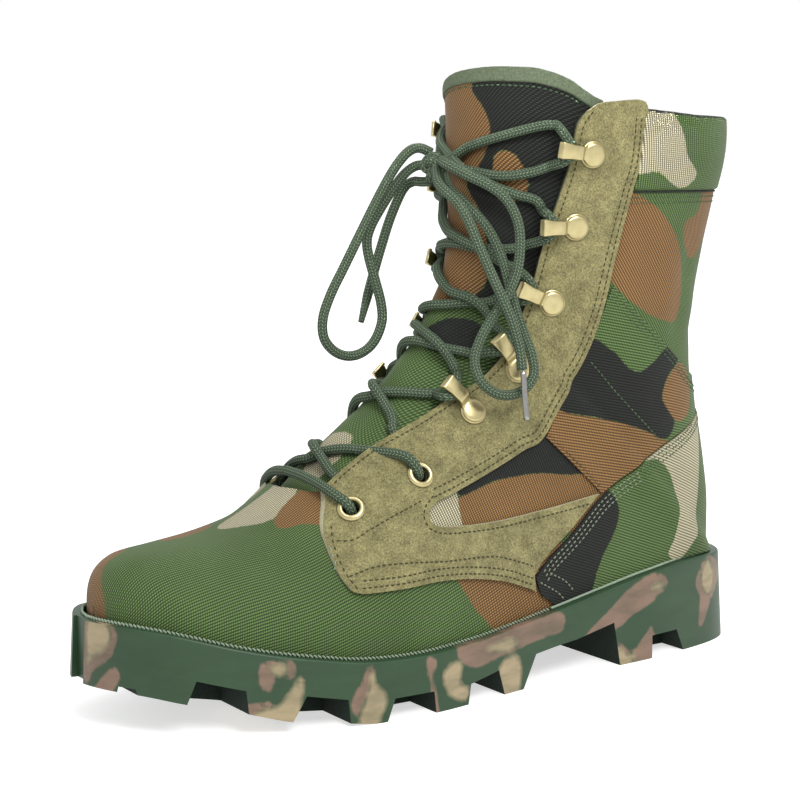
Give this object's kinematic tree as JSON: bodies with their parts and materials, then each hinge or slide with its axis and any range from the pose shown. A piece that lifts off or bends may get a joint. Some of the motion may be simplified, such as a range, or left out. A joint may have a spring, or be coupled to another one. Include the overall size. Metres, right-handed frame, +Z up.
{
  "type": "combat boot",
  "caption": "Lace-up ankle-high combat boot with a lugged rubber cup sole, printed cloth upper, suede eyestays, padded collar, speed hooks and a tied lace.",
  "frame": {"origin": "on the floor under the middle of the boot's box, laces left out", "axes": "+X to the toe, +Y to the outer side, +Z up"},
  "size_m": [0.3045, 0.1136, 0.2479],
  "materials": {
    "sole_rubber": "satin moulded, marbled green, tan and brown",
    "insole_board": "matte felted",
    "printed_nylon": "woven nylon with a four-colour woodland print",
    "suede": "napped suede",
    "binding_tape": "woven tape",
    "lace_braid": "round braid",
    "hook_brass": "satin, pale",
    "tip_metal": "crimped, dull"
  },
  "bodies": {
    "root": {"outsole": "sole_rubber", "insole": "insole_board", "upper": "printed_nylon", "eyestay_outer": "suede", "eyestay_inner": "suede", "heel_counter": "printed_nylon", "ankle_band": "printed_nylon", "collar_cuff": "printed_nylon", "tongue": "printed_nylon", "tongue_binding": "binding_tape", "lace_bar": "lace_braid", "lace_tip_outer": "tip_metal", "eyelet_outer_1": "hook_brass", "eyelet_outer_2": "hook_brass", "eyelet_inner_1": "hook_brass", "eyelet_inner_2": "hook_brass", "hook_outer_1": "hook_brass", "hook_outer_2": "hook_brass", "hook_outer_3": "hook_brass", "hook_outer_4": "hook_brass", "hook_outer_5": "hook_brass", "hook_inner_1": "hook_brass", "hook_inner_2": "hook_brass", "hook_inner_3": "hook_brass", "hook_inner_4": "hook_brass", "hook_inner_5": "hook_brass", "lace_crossing_1": "lace_braid", "lace_crossing_2": "lace_braid", "lace_crossing_3": "lace_braid", "lace_crossing_4": "lace_braid", "lace_crossing_5": "lace_braid", "lace_crossing_6": "lace_braid", "bow_knot": "lace_braid", "bow_loop_inner": "lace_braid", "bow_loop_outer": "lace_braid", "lace_end_inner": "lace_braid", "lace_end_outer": "lace_braid"}
  },
  "joints": []
}
